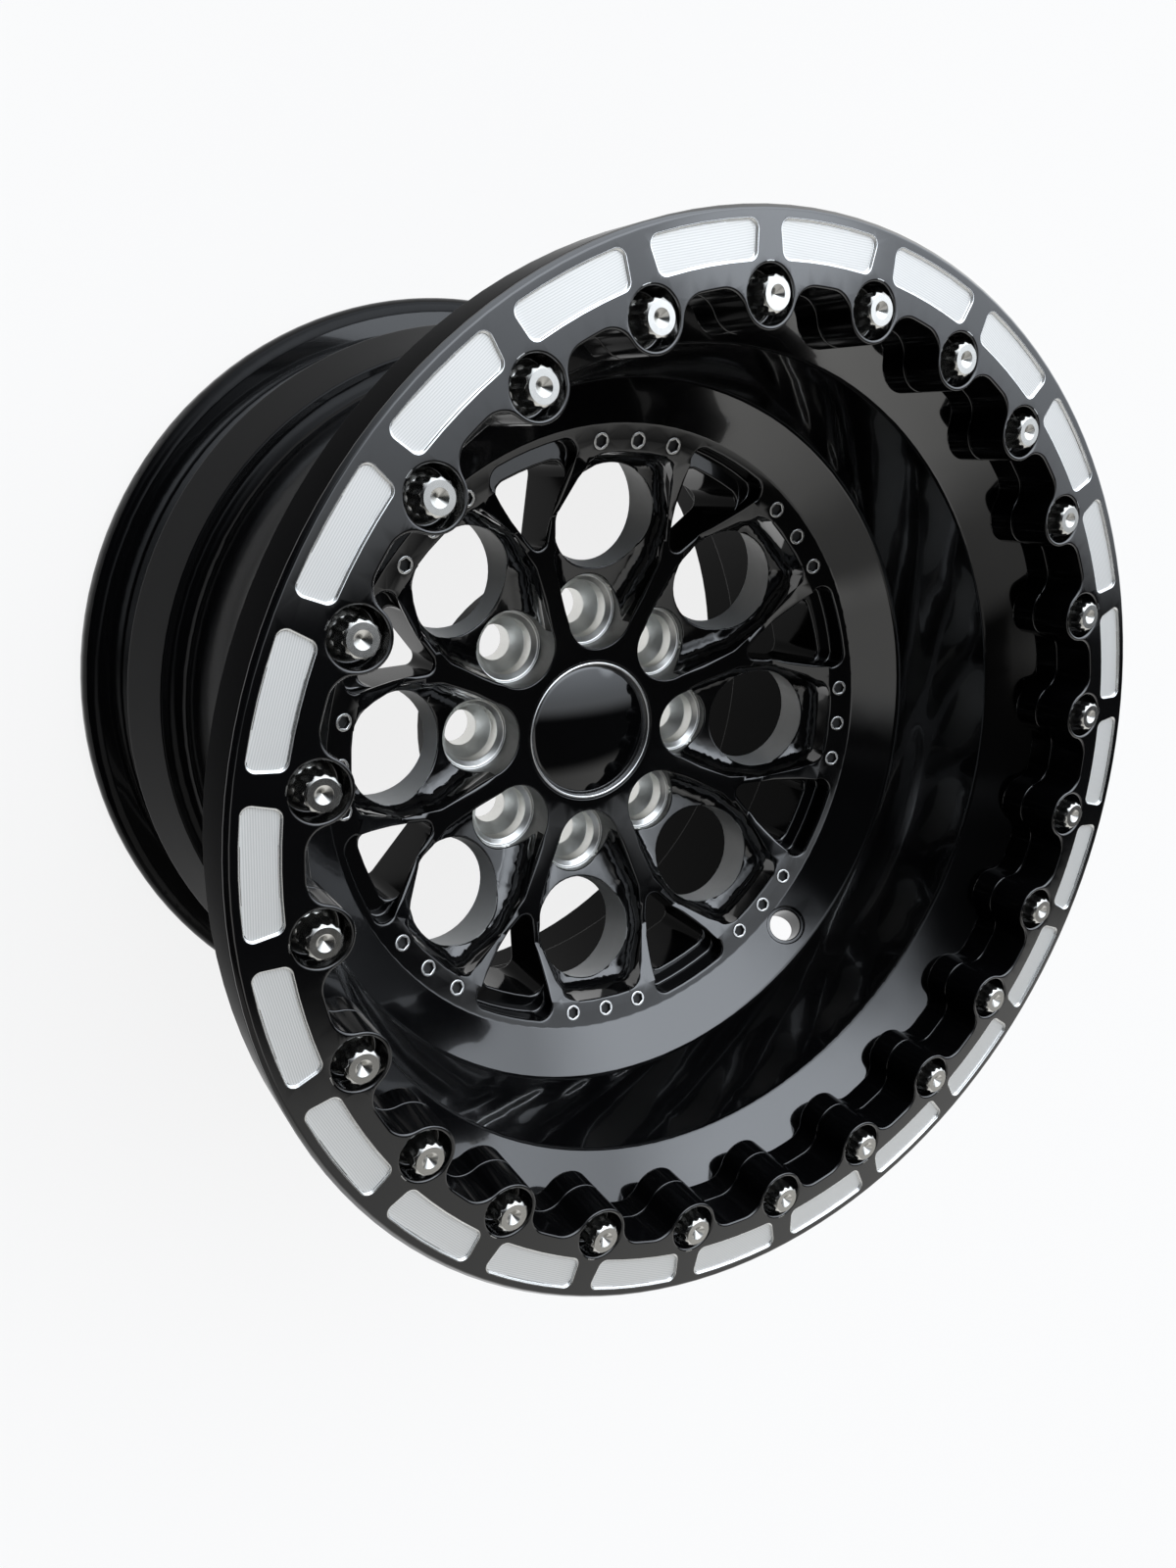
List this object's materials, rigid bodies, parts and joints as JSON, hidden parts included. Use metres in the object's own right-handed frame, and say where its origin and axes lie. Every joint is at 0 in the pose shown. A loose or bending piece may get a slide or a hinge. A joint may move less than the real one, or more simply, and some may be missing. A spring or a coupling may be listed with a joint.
{
  "type": "beadlock wheel",
  "caption": "Deep-dish off-road wheel with forked spokes, a scalloped bead-clamp ring bolted over its outer edge, lug wells, round holes, a valve hole and a domed hub cap.",
  "frame": {"origin": "centre of the hub pad, where the wheel seats on the axle flange", "axes": "+Z along the axle, outboard towards the clamp ring; +Y through the middle of a round hole"},
  "size_m": [0.4199, 0.42, 0.294],
  "materials": {
    "wheel_paint": "gloss black paint",
    "ring_paint": "gloss black paint",
    "bolt_steel": "polished stainless",
    "rivet_steel": "bright",
    "cap_bright": "bright plated",
    "dome_black": "gloss",
    "spring_steel": "spring steel"
  },
  "bodies": {
    "root": {"wheel": "wheel_paint", "beadlock_ring": "ring_paint", "beadlock_bolts": "bolt_steel", "spoke_rivets": "rivet_steel", "centre_cap": "cap_bright", "cap_dome": "dome_black", "cap_spring": "spring_steel"}
  },
  "joints": []
}
